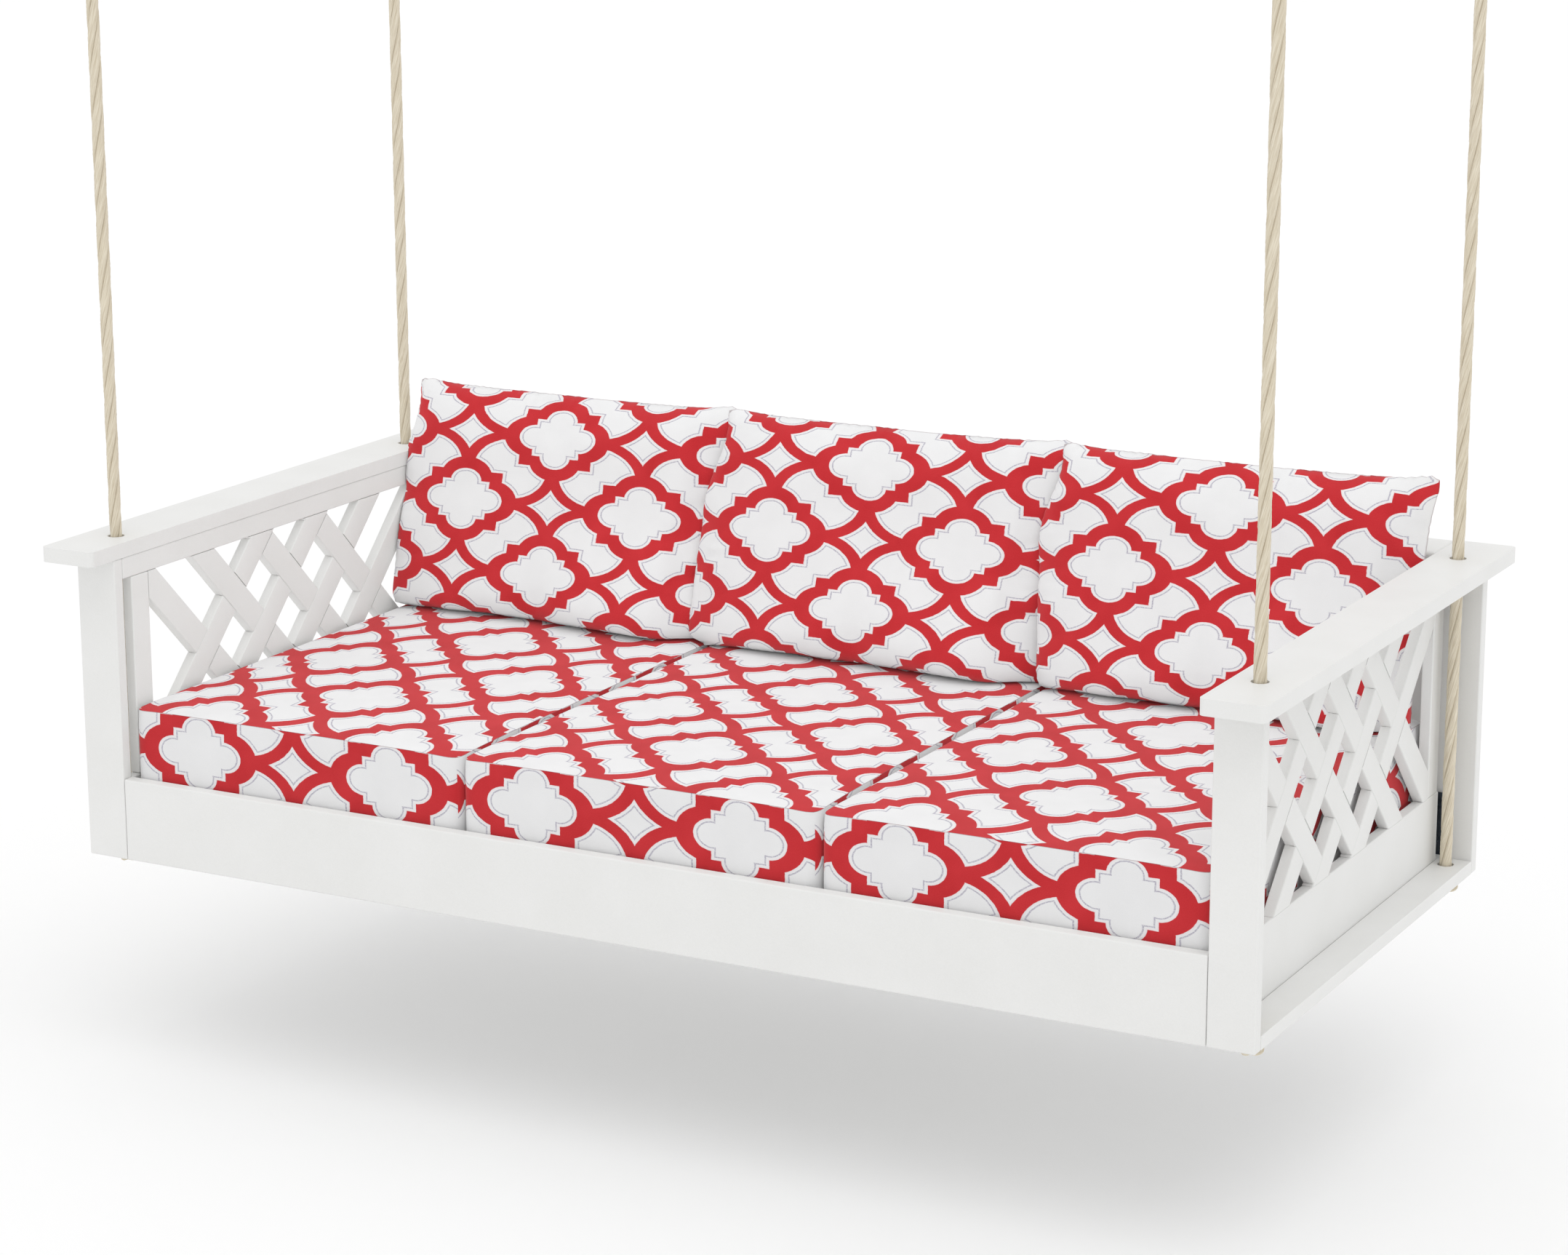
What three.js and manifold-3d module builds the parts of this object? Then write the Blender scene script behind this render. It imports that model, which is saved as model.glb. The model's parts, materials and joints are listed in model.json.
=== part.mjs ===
// A hanging porch swing seat. A frame of flat boards with lattice sides and back hangs from the ceiling on
// four ropes, and carries three box cushions on its deck with three loose pillows behind them.
//
// Millimetres, +Z up, +X to the right as seen from the front, +Y towards the back.
// The origin is in the ceiling plane, midway between the four ceiling plates. Everything that belongs to
// the seat is placed in the group `seat`, whose own zero height is the foot of the posts.

import * as THREE from "three";
import { mergeVertices } from "three/addons/utils/BufferGeometryUtils.js";
import Module from "manifold-3d";

const wasm = await Module();
wasm.setup();

// ---- Driving dimensions -------------------------------------------------------------------------

const GAP = 0.3; // left between pieces that touch
const JOINT = 0.5; // open joint between boards that meet

const CEILING = 1640; // ceiling plane above the foot of the posts

const ARM = { width: 102, length: 1113, thickness: 25, spread: 2130, top: 536, corner: 10 };
const POST = { width: 76, thickness: 22, overhang: 25, frontSetback: 60, rearSetback: 66 };
const PANEL = { thickness: 19, topRail: 36, bottomRail: 138, stile: 46, railGap: 15 };
const STILE_GAP = { side: 22, back: 20 }; // from each stile to the post beside it
const SLAT = { width: 48, pitch: 164.5, sideCount: 4, backCount: 10 };
const APRON = { height: 139, thickness: 22, endGap: 0.8 };
const ROPE_BOARD = { thickness: 22, frontGap: 1.5 };
const CAP = { depth: 102, endGap: 0.5 };

const DECK = { top: 127, board: 139, thickness: 22, count: 6, endGap: 4, halfLength: 958 };
const BEARER = { width: 38, height: 89, outer: 909 };

const ROPE = { radius: 10, hole: 13.5, endInset: 124, sideInset: 33, sides: 10, step: 60 };
const KNOT = { radius: 22, height: 21, shoulder: 0.7, neck: 0.75 };
const BEND_SHARES = [0, 0.25, 0.5, 0.75]; // steps round the rope's end at its bend
const PIVOT_DEPTH = 8; // the rope bends this far below the top of the arm

const PLATE = { width: 80, thickness: 5, screwPitch: 56, screw: 6, head: 3 };
const EYE = { radius: 16, wire: 4, drop: 1 }; // its top bar is centred this far below the plate
const RING = { radius: 18, wire: 4 };
const FERRULE = { radius: 13, length: 55, cap: 12, bore: 10.3, shoulder: 4 };

const CUSHION = { pitch: 640, gap: 4, frontGap: 2, depth: 924, thickness: 135, corner: 30, bevel: 12 };
const PILLOW = { height: 402, thickness: 100, corner: 40, bevel: 40, lean: 9, foot: 358, lift: 4 };

const BRACKET = { thickness: 3, web: 39.5, flange: 30, bottom: 26, aboveDeck: 5, belowBoards: 1 };
const BOLT = { radius: 7, head: 5, shares: [0.25, 0.75] }; // shares of the bracket's height

// Segments: round a rope hole or a bolt, a wire, a ring, a ferrule, a screw, and a cushion's edge
const FACETS = { hole: 12, wire: 8, ring: 20, ferrule: 16, screw: 10, cushion: 3 };

// ---- Dimensions that follow from them -----------------------------------------------------------

const armOuter = ARM.spread / 2;
const armInner = armOuter - ARM.width;
const armUnder = ARM.top - ARM.thickness;
const postOuter = armOuter - POST.overhang;
const postInner = postOuter - POST.width;
const panelOuter = postInner + PANEL.thickness;

const frontPost = [-ARM.length / 2 + POST.frontSetback, -ARM.length / 2 + POST.frontSetback + POST.thickness];
const rearPost = [ARM.length / 2 - POST.rearSetback - POST.thickness, ARM.length / 2 - POST.rearSetback];
const panelFront = frontPost[1] + JOINT;
const panelRear = rearPost[0] - JOINT;
const panelMiddle = (frontPost[1] + rearPost[0]) / 2;
const openingBottom = PANEL.bottomRail;
const openingTop = armUnder - PANEL.topRail;
const sideOpening = (rearPost[0] - frontPost[1]) / 2 - STILE_GAP.side - PANEL.stile;
const backOpening = postInner - STILE_GAP.back - PANEL.stile;

const ropeX = postOuter - ROPE.sideInset;
const ropeY = ARM.length / 2 - ROPE.endInset;
const pivotHeight = ARM.top - PIVOT_DEPTH;
const eyeCentre = -PLATE.thickness - EYE.drop - EYE.radius;
const hingeDrop = eyeCentre - EYE.radius; // the swing's axis: the middle of the eye's lowest bar

const SIDES = { left: -1, right: 1 };
const ENDS = { front: -1, rear: 1 };

// ---- Materials ----------------------------------------------------------------------------------

const board = new THREE.MeshStandardMaterial({ color: "#e9e9e7", roughness: 0.5, metalness: 0 });
const rope = new THREE.MeshStandardMaterial({ color: "#ded0b2", roughness: 0.95, metalness: 0 });
const zinc = new THREE.MeshStandardMaterial({ color: "#a9adb2", roughness: 0.35, metalness: 1 });
const darkSteel = new THREE.MeshStandardMaterial({ color: "#3d434c", roughness: 0.5, metalness: 0.8 });
const canvas = new THREE.MeshStandardMaterial({ color: "#cd2a2e", roughness: 0.9, metalness: 0 });

// ---- Tools --------------------------------------------------------------------------------------

// A three.js geometry as a manifold-3d solid.
function solid(geometry) {
  const bare = geometry.index ? geometry.toNonIndexed() : geometry.clone();
  bare.deleteAttribute("normal");
  bare.deleteAttribute("uv");
  const merged = mergeVertices(bare, 1e-4);
  return new wasm.Manifold(
    new wasm.Mesh({
      numProp: 3,
      vertProperties: merged.attributes.position.array,
      triVerts: new Uint32Array(merged.index.array),
    }),
  );
}

// The same way back.
function geometryOf(manifold) {
  const mesh = manifold.getMesh();
  const geometry = new THREE.BufferGeometry();
  geometry.setAttribute("position", new THREE.BufferAttribute(mesh.vertProperties, 3));
  geometry.setIndex(new THREE.BufferAttribute(mesh.triVerts, 1));
  geometry.computeVertexNormals();
  return geometry;
}

function joined(geometries) {
  return geometries.map(solid).reduce((whole, piece) => whole.add(piece));
}

function piece(name, geometry, material, parent) {
  const mesh = new THREE.Mesh(geometry, material);
  mesh.name = name;
  parent.add(mesh);
  return mesh;
}

// A square-cut board between two limits along each axis, given in either order.
function block(name, xs, ys, zs, parent, material = board) {
  const size = [xs, ys, zs].map(([a, b]) => Math.abs(b - a));
  const centre = [xs, ys, zs].map(([a, b]) => (a + b) / 2);
  const mesh = piece(name, new THREE.BoxGeometry(...size), material, parent);
  mesh.position.set(...centre);
  return mesh;
}

// The outline of a rectangle centred on the origin, with round corners.
function roundedRectangle(width, length, radius) {
  const x = width / 2 - radius;
  const y = length / 2 - radius;
  const outline = new THREE.Shape();
  outline.absarc(x, y, radius, 0, Math.PI / 2);
  outline.absarc(-x, y, radius, Math.PI / 2, Math.PI);
  outline.absarc(-x, -y, radius, Math.PI, 1.5 * Math.PI);
  outline.absarc(x, -y, radius, 1.5 * Math.PI, 2 * Math.PI);
  return outline;
}

// A board that runs front to back, lying flat, with a hole for each of the two ropes on its side.
function ropedPlank(name, outline, thickness, centre, side, seat) {
  for (const end of Object.values(ENDS)) {
    const hole = new THREE.Path();
    hole.absarc(side * ropeX - centre.x, end * ropeY - centre.y, ROPE.hole, 0, 2 * Math.PI);
    outline.holes.push(hole);
  }
  const plank = new THREE.ExtrudeGeometry(outline, {
    depth: thickness,
    bevelEnabled: false,
    curveSegments: FACETS.hole,
  });
  piece(name, plank, board, seat).position.copy(centre);
}

// A closed solid of revolution about Z from [radius, height] pairs that start and end on the axis.
function turned(profile, segments = ROPE.sides) {
  const points = profile.map(([radius, height]) => new THREE.Vector2(radius, height));
  return new THREE.LatheGeometry(points, segments).rotateX(Math.PI / 2);
}

// ---- Board frame --------------------------------------------------------------------------------

function arm(name, side, seat) {
  const outline = roundedRectangle(ARM.width, ARM.length, ARM.corner);
  const centre = new THREE.Vector3((side * (armOuter + armInner)) / 2, 0, armUnder);
  ropedPlank(name, outline, ARM.thickness, centre, side, seat);
}

// The board beside the side panel's foot that the ropes pass through, with their knots below it.
function ropeBoard(name, side, seat) {
  const front = frontPost[1] + ROPE_BOARD.frontGap;
  const inner = panelOuter + JOINT;
  const half = { x: (postOuter - inner) / 2, y: (panelRear - front) / 2 };
  const outline = new THREE.Shape();
  outline.moveTo(-half.x, -half.y);
  outline.lineTo(half.x, -half.y);
  outline.lineTo(half.x, half.y);
  outline.lineTo(-half.x, half.y);
  const centre = new THREE.Vector3((side * (inner + postOuter)) / 2, (front + panelRear) / 2, 0);
  ropedPlank(name, outline, ROPE_BOARD.thickness, centre, side, seat);
}

// Slats crossing at 45 degrees, half lapped so that both faces are flush, clipped to the panel's
// opening. The panel lies in the YZ plane, centred on the origin along Y.
function lattice(count, halfLength) {
  const bottom = openingBottom + GAP;
  const top = openingTop - GAP;
  const middle = (bottom + top) / 2;
  const length = 2 * (top - bottom);
  const slats = [];
  for (let k = 0; k < count; k++) {
    const along = (k - (count - 1) / 2) * SLAT.pitch;
    for (const lean of [-1, 1]) {
      const slat = new THREE.BoxGeometry(PANEL.thickness, length, SLAT.width);
      slats.push(slat.rotateX((lean * Math.PI) / 4).translate(0, along, middle));
    }
  }
  const opening = new THREE.BoxGeometry(2 * PANEL.thickness, 2 * (halfLength - GAP), top - bottom);
  opening.translate(0, 0, middle);
  return geometryOf(joined(slats).intersect(solid(opening)));
}

function sidePanel(label, side, seat) {
  const xs = [side * postInner, side * panelOuter];
  block(`side_top_rail_${label}`, xs, [panelFront, panelRear], [openingTop, armUnder - GAP], seat);
  const railEnd = rearPost[0] - PANEL.railGap;
  block(`side_bottom_rail_${label}`, xs, [panelFront, railEnd], [0, PANEL.bottomRail], seat);
  for (const [end, direction] of Object.entries(ENDS)) {
    const inner = panelMiddle + direction * sideOpening;
    const ys = [inner, inner + direction * PANEL.stile];
    const zs = [openingBottom + GAP, openingTop - GAP];
    block(`side_stile_${end}_${label}`, xs, ys, zs, seat);
  }
  const grille = piece(`side_lattice_${label}`, lattice(SLAT.sideCount, sideOpening), board, seat);
  grille.position.set((side * (postInner + panelOuter)) / 2, panelMiddle, 0);
}

function backPanel(seat) {
  const ys = [rearPost[1] - PANEL.thickness, rearPost[1]];
  const halfLength = postInner - JOINT;
  block("back_top_rail", [-halfLength, halfLength], ys, [openingTop, armUnder - GAP], seat);
  for (const [label, side] of Object.entries(SIDES)) {
    const xs = [side * backOpening, side * (backOpening + PANEL.stile)];
    block(`back_stile_${label}`, xs, ys, [APRON.height + GAP, openingTop - GAP], seat);
  }
  const clear = new THREE.BoxGeometry(2 * PANEL.thickness, 2 * backOpening, 2 * (APRON.height + GAP));
  const slats = solid(lattice(SLAT.backCount, backOpening)).subtract(solid(clear));
  const grille = piece("back_lattice", geometryOf(slats), board, seat);
  grille.rotation.z = Math.PI / 2;
  grille.position.set(0, (ys[0] + ys[1]) / 2, 0);
  const capEnd = armInner - CAP.endGap;
  const capYs = [ARM.length / 2 - CAP.depth, ARM.length / 2];
  block("back_cap", [-capEnd, capEnd], capYs, [armUnder, ARM.top], seat);
}

function posts(label, side, seat) {
  const xs = [side * postInner, side * postOuter];
  block(`front_post_${label}`, xs, frontPost, [0, armUnder - GAP], seat);
  block(`rear_post_${label}`, xs, rearPost, [0, armUnder - GAP], seat);
}

function deck(seat) {
  const halfLength = postInner - APRON.endGap;
  block("front_apron", [-halfLength, halfLength], frontPost, [0, APRON.height], seat);
  block("back_apron", [-halfLength, halfLength], rearPost, [0, APRON.height], seat);

  const underside = DECK.top - DECK.thickness;
  const bearers = { left: -BEARER.outer, middle: 0, right: BEARER.outer };
  for (const [label, x] of Object.entries(bearers)) {
    const xs = [x - BEARER.width / 2, x + BEARER.width / 2];
    const zs = [underside - GAP - BEARER.height, underside - GAP];
    block(`seat_bearer_${label}`, xs, [panelFront, panelRear], zs, seat);
  }

  const free = panelRear - panelFront - 2 * DECK.endGap - DECK.board;
  for (let i = 0; i < DECK.count; i++) {
    const y = panelFront + DECK.endGap + (free * i) / (DECK.count - 1);
    const xs = [-DECK.halfLength, DECK.halfLength];
    block(`seat_slat_${i + 1}`, xs, [y, y + DECK.board], [underside, DECK.top], seat);
  }
}

// An angle bracket: a web on the inner face of the side's bottom rail, and a flange that turns inwards
// onto the front apron, or outwards onto the rear post.
function bracket(name, side, end, seat) {
  const rear = end > 0;
  const webFace = postInner - GAP;
  const endFace = (rear ? rearPost[0] : frontPost[1]) - end * GAP;
  const top = rear ? DECK.top + BRACKET.aboveDeck : DECK.top - DECK.thickness - BRACKET.belowBoards;
  const height = top - BRACKET.bottom;
  const middle = BRACKET.bottom + height / 2;
  const web = new THREE.BoxGeometry(BRACKET.thickness, BRACKET.web, height);
  web.translate(webFace - BRACKET.thickness / 2, endFace - (end * BRACKET.web) / 2, middle);
  const outward = rear ? 1 : -1;
  const flangeStart = rear ? webFace - BRACKET.thickness : webFace;
  const flangeX = flangeStart + (outward * BRACKET.flange) / 2;
  const flangeY = endFace - (end * BRACKET.thickness) / 2;
  const flange = new THREE.BoxGeometry(BRACKET.flange, BRACKET.thickness, height);
  flange.translate(flangeX, flangeY, middle);
  const bolts = BOLT.shares.map((share) => {
    const head = new THREE.CylinderGeometry(BOLT.radius, BOLT.radius, BOLT.head, FACETS.hole);
    const y = endFace - end * (BRACKET.thickness + BOLT.head / 2 - GAP);
    return head.translate(flangeX, y, BRACKET.bottom + share * height);
  });
  const shape = geometryOf(joined([web, flange, ...bolts]));
  if (side < 0) shape.rotateY(Math.PI).translate(0, 0, 2 * middle);
  piece(name, shape, darkSteel, seat);
}

// ---- Ropes and what they hang from --------------------------------------------------------------

// Profile points up the side of a straight rope, a step of about three diameters apart.
function ropeSide(from, to) {
  const steps = Math.ceil((to - from) / ROPE.step);
  return Array.from({ length: steps + 1 }, (_, i) => [ROPE.radius, from + ((to - from) * i) / steps]);
}

// The stretch that swings, from its bend inside the arm up into the ferrule. Its zero is at the bend.
function upperRope(length) {
  const bend = BEND_SHARES.map((share) => {
    const angle = (share * Math.PI) / 2;
    return [ROPE.radius * Math.sin(angle), -ROPE.radius * Math.cos(angle)];
  });
  return turned([...bend, ...ropeSide(0, length), [0, length]]);
}

// The stretch that stays with the seat, from the arm's hole down through the rope board to its knot.
function lowerRope() {
  const top = pivotHeight - ROPE.radius - GAP;
  const knot = [
    [0, -GAP - KNOT.height],
    [KNOT.shoulder * KNOT.radius, -GAP - KNOT.height],
    [KNOT.radius, -GAP - KNOT.shoulder * KNOT.height],
    [KNOT.radius, -GAP - (1 - KNOT.shoulder) * KNOT.height],
    [KNOT.neck * KNOT.radius, -GAP],
    [ROPE.radius, -GAP],
  ];
  return turned([...knot, ...ropeSide(0, top), [0, top]]);
}

// A steel ferrule closed at the top by a ring that hangs on the ceiling eye. Zero is the ring's bearing
// point on the eye.
function ropeFitting() {
  const ringCentre = RING.wire + EYE.wire + GAP - RING.radius;
  const ring = new THREE.TorusGeometry(RING.radius, RING.wire, FACETS.wire, FACETS.ring);
  ring.rotateY(Math.PI / 2).translate(0, 0, ringCentre);
  const top = ringCentre - RING.radius;
  const profile = [
    [0, top - FERRULE.cap],
    [FERRULE.bore, top - FERRULE.cap],
    [FERRULE.bore, top - FERRULE.length],
    [FERRULE.radius, top - FERRULE.length],
    [FERRULE.radius, top - FERRULE.shoulder],
    [FERRULE.radius - FERRULE.shoulder, top],
    [0, top],
  ];
  const ferrule = turned(profile, FACETS.ferrule);
  return { shape: geometryOf(joined([ring, ferrule])), ropeEnd: top - FERRULE.cap };
}

// A square plate screwed to the ceiling with an eye below it. Zero is on the plate's top face.
function ceilingHook() {
  const plate = new THREE.BoxGeometry(PLATE.width, PLATE.width, PLATE.thickness);
  plate.translate(0, 0, -PLATE.thickness / 2);
  const eye = new THREE.TorusGeometry(EYE.radius, EYE.wire, FACETS.wire, FACETS.ring);
  eye.rotateX(Math.PI / 2).translate(0, 0, eyeCentre);
  const screws = [];
  for (const x of [-0.5, 0.5]) {
    for (const y of [-0.5, 0.5]) {
      const head = new THREE.CylinderGeometry(PLATE.screw, PLATE.screw, PLATE.head, FACETS.screw);
      const z = -PLATE.thickness - PLATE.head / 2 + GAP;
      screws.push(head.rotateX(Math.PI / 2).translate(x * PLATE.screwPitch, y * PLATE.screwPitch, z));
    }
  }
  return geometryOf(joined([plate, eye, ...screws]));
}

function suspension(object, seat) {
  const fitting = ropeFitting();
  const ropeLength = CEILING - pivotHeight + hingeDrop + fitting.ropeEnd - GAP;
  for (const [end, y] of Object.entries(ENDS)) {
    for (const [label, x] of Object.entries(SIDES)) {
      const corner = [x * ropeX, y * ropeY];
      const suffix = `${end}_${label}`;
      piece(`ceiling_hook_${suffix}`, ceilingHook(), zinc, object).position.set(...corner, 0);
      piece(`rope_fitting_${suffix}`, fitting.shape, zinc, object).position.set(...corner, hingeDrop);
      piece(`rope_upper_${suffix}`, upperRope(ropeLength), rope, seat).position.set(...corner, pivotHeight);
      piece(`rope_lower_${suffix}`, lowerRope(), rope, seat).position.set(...corner, 0);
    }
  }
}

// ---- Cushions -----------------------------------------------------------------------------------

// A plain padded slab with rounded edges, lying flat with its underside at zero.
function pad(width, length, thickness, corner, bevel) {
  const outline = roundedRectangle(width - 2 * bevel, length - 2 * bevel, corner - bevel / 2);
  const slab = new THREE.ExtrudeGeometry(outline, {
    depth: thickness - 2 * bevel,
    bevelThickness: bevel,
    bevelSize: bevel,
    bevelSegments: FACETS.cushion,
    curveSegments: FACETS.cushion,
  });
  return slab.translate(0, 0, bevel);
}

function cushions(seat) {
  const width = CUSHION.pitch - CUSHION.gap;
  const seatTop = DECK.top + JOINT + CUSHION.thickness;
  const lean = THREE.MathUtils.degToRad(PILLOW.lean);
  const front = frontPost[1] + CUSHION.frontGap;
  const places = { left: -CUSHION.pitch, middle: 0, right: CUSHION.pitch };
  for (const [label, x] of Object.entries(places)) {
    const base = pad(width, CUSHION.depth, CUSHION.thickness, CUSHION.corner, CUSHION.bevel);
    const lying = piece(`seat_cushion_${label}`, base, canvas, seat);
    lying.position.set(x, front + CUSHION.depth / 2, DECK.top + JOINT);

    const pillow = pad(width, PILLOW.height, PILLOW.thickness, PILLOW.corner, PILLOW.bevel);
    pillow.translate(0, PILLOW.height / 2, -PILLOW.thickness / 2);
    const standing = piece(`back_cushion_${label}`, pillow, canvas, seat);
    standing.rotation.x = Math.PI / 2 - lean;
    standing.position.set(x, PILLOW.foot, seatTop + PILLOW.lift);
  }
}

// ---- The whole object ---------------------------------------------------------------------------

const porchSwing = new THREE.Group();
const seat = new THREE.Group();
seat.position.z = -CEILING;
porchSwing.add(seat);

for (const [label, side] of Object.entries(SIDES)) {
  arm(`arm_board_${label}`, side, seat);
  posts(label, side, seat);
  sidePanel(label, side, seat);
  ropeBoard(`rope_board_${label}`, side, seat);
  for (const [end, direction] of Object.entries(ENDS)) {
    bracket(`${end}_bracket_${label}`, side, direction, seat);
  }
}
backPanel(seat);
deck(seat);
suspension(porchSwing, seat);
cushions(seat);

export default porchSwing;
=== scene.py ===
"""A hanging porch swing seat, dressed around its CAD frame.

The white boards are the frame's own nodes with rounded edges. The lattices, ropes, steel fittings and
cushions are modelled here and replace their plain solids. Metres throughout, in the part's frame: +Z up,
+Y towards the back, and the origin in the ceiling plane.
"""

import json
import math

import bmesh
import bpy
import numpy as np
from mathutils import Matrix, Vector, noise
from mathutils.bvhtree import BVHTree


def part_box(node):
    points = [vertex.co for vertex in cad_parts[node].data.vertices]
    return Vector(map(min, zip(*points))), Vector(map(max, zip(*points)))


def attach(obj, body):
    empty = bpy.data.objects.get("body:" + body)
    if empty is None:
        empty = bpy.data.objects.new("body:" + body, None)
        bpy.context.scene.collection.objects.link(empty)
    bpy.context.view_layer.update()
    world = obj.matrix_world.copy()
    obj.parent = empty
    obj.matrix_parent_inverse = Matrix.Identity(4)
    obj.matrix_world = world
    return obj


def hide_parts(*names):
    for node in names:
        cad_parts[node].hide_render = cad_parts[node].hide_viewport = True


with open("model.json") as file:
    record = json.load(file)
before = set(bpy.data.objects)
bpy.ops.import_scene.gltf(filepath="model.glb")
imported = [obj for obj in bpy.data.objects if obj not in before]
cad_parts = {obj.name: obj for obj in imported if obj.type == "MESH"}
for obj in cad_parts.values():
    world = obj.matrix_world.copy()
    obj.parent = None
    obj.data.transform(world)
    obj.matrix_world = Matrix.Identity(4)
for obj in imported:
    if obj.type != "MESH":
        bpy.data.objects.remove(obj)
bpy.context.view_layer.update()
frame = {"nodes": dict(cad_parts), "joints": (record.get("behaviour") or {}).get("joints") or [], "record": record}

MM = 0.001
SIDES = {"left": -1, "right": 1}
ENDS = {"front": -1, "rear": 1}
PLACES = {"left": -1, "middle": 0, "right": 1}
FLOOR_DROP = 0.35  # how far the floor lies below the frame

# ---- Places that follow from the frame ----

deck_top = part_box("seat_slat_1")[1].z
arm_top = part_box("arm_board_left")[1].z
board_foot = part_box("rope_board_left")[0].z
cap_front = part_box("back_cap")[0].y
arm_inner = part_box("arm_board_right")[0].x
rope_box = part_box("rope_upper_rear_right")
rope_x = (rope_box[0].x + rope_box[1].x) / 2
rope_y = (rope_box[0].y + rope_box[1].y) / 2
eye_bar = frame["joints"][0]["pos_m"][2]
floor_height = board_foot - FLOOR_DROP

# Where each rope stands
CORNERS = {f"{end}_{side}": (x * rope_x, y * rope_y)
           for end, y in ENDS.items() for side, x in SIDES.items()}

# ---- Camera, light and floor ----

CAMERA_AT = (2.954, -5.511, 0.339)
CAMERA_YAW = 28.1
CAMERA_PITCH = 14.17
CAMERA_ROLL = -0.12
LENS = 90.5
WORLD_LIGHT = 0.92
KEY_TOWARDS = (-0.25, 0.35, -1.0)
KEY_SPREAD = 45
KEY_STRENGTH = 0.5
FLOOR_HALF = 30
FLOOR_GREY = 0.84
FLOOR_GLOW = 0.12


def make_camera():
    data = bpy.data.cameras.new("camera")
    data.lens = LENS
    data.sensor_width = 36
    data.clip_end = 100
    camera = link("camera", data)
    turn = Matrix.Rotation(math.radians(CAMERA_YAW), 4, "Z")
    tilt = Matrix.Rotation(math.radians(90 - CAMERA_PITCH), 4, "X")
    roll = Matrix.Rotation(math.radians(CAMERA_ROLL), 4, "Z")
    camera.matrix_world = Matrix.Translation(CAMERA_AT) @ turn @ tilt @ roll
    bpy.context.scene.camera = camera


def make_studio():
    """Even white light from all round, and a wide distant lamp from above."""
    scene = bpy.context.scene
    scene.view_settings.view_transform = "Standard"
    scene.world = bpy.data.worlds.new("studio")
    scene.world.use_nodes = True
    background = scene.world.node_tree.nodes["Background"]
    background.inputs["Color"].default_value = (1, 1, 1, 1)
    background.inputs["Strength"].default_value = WORLD_LIGHT
    key = bpy.data.lights.new("key", "SUN")
    key.angle = math.radians(KEY_SPREAD)
    key.energy = KEY_STRENGTH
    lamp = link("key", key)
    lamp.rotation_euler = Vector(KEY_TOWARDS).to_track_quat("-Z", "Y").to_euler()


def make_floor():
    signs = ((-1, -1), (1, -1), (1, 1), (-1, 1))
    corners = [(x * FLOOR_HALF, y * FLOOR_HALF, floor_height) for x, y in signs]
    floor = link("floor", mesh_of("floor", corners, [(0, 1, 2, 3)]))
    n = Shader("floor_paper", roughness=0.9)
    n.set("Base Color", (FLOOR_GREY, FLOOR_GREY, FLOOR_GREY, 1))
    n.set("Specular IOR Level", 0.1)
    n.set("Emission Color", (1, 1, 1, 1))
    n.set("Emission Strength", FLOOR_GLOW)
    floor.data.materials.append(n.material)


# ---- Shader building ----


class Shader:
    """A material under construction. A value is a number, a colour or the socket of another node."""

    def __init__(self, name, roughness=0.5, metallic=0.0):
        self.material = bpy.data.materials.new(name)
        self.material.use_nodes = True
        self.tree = self.material.node_tree
        self.bsdf = self.tree.nodes["Principled BSDF"]
        self.set("Roughness", roughness)
        self.set("Metallic", metallic)

    def plug(self, socket, value):
        if isinstance(value, bpy.types.NodeSocket):
            self.tree.links.new(value, socket)
        else:
            socket.default_value = value

    def fill(self, node, values):
        """Gives inputs of a node their values, by name or number."""
        for key, value in values.items():
            self.plug(node.inputs[key], value)

    def node(self, kind):
        return self.tree.nodes.new("ShaderNode" + kind)

    def set(self, name, value):
        self.plug(self.bsdf.inputs[name], value)

    def math(self, operation, *values):
        node = self.node("Math")
        node.operation = operation
        self.fill(node, dict(enumerate(values)))
        return node.outputs[0]

    def times(self, a, b):
        return self.math("MULTIPLY", a, b)

    def minus(self, a, b):
        return self.math("SUBTRACT", a, b)

    def blend(self, a, b, share):
        """A weighted mean of two values, with the share that the first one has."""
        return self.math("ADD", self.times(a, share), self.times(b, 1 - share))

    def split(self, point):
        node = self.node("SeparateXYZ")
        self.plug(node.inputs[0], point)
        return node.outputs[0], node.outputs[1]

    def place(self, scale=(1, 1, 1), uv=None):
        """The point on the piece in its own frame, or in one of its UV maps, times a scale."""
        if uv:
            node = self.node("UVMap")
            node.uv_map = uv
            point = node.outputs["UV"]
        else:
            point = self.node("TexCoord").outputs["Object"]
        mapping = self.node("Mapping")
        self.fill(mapping, {"Vector": point, "Scale": scale})
        return mapping.outputs["Vector"]

    def noise(self, point, scale, detail=2.0, roughness=0.5, output="Fac"):
        node = self.node("TexNoise")
        self.fill(node, {"Vector": point, "Scale": scale, "Detail": detail, "Roughness": roughness})
        return node.outputs[output]

    def spread(self, value, low, high, to_low=0.0, to_high=1.0, smooth=False):
        node = self.node("MapRange")
        node.interpolation_type = "SMOOTHSTEP" if smooth else "LINEAR"
        self.fill(node, dict(enumerate((value, low, high, to_low, to_high))))
        return node.outputs["Result"]

    def mix(self, share, a, b):
        node = self.node("Mix")
        node.data_type = "RGBA"
        self.fill(node, {0: share, 6: a, 7: b})
        return node.outputs[2]

    def bump(self, height, depth, strength=1.0):
        node = self.node("Bump")
        self.fill(node, {"Strength": strength, "Distance": depth, "Height": height})
        self.set("Normal", node.outputs["Normal"])


# ---- Materials ----


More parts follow.
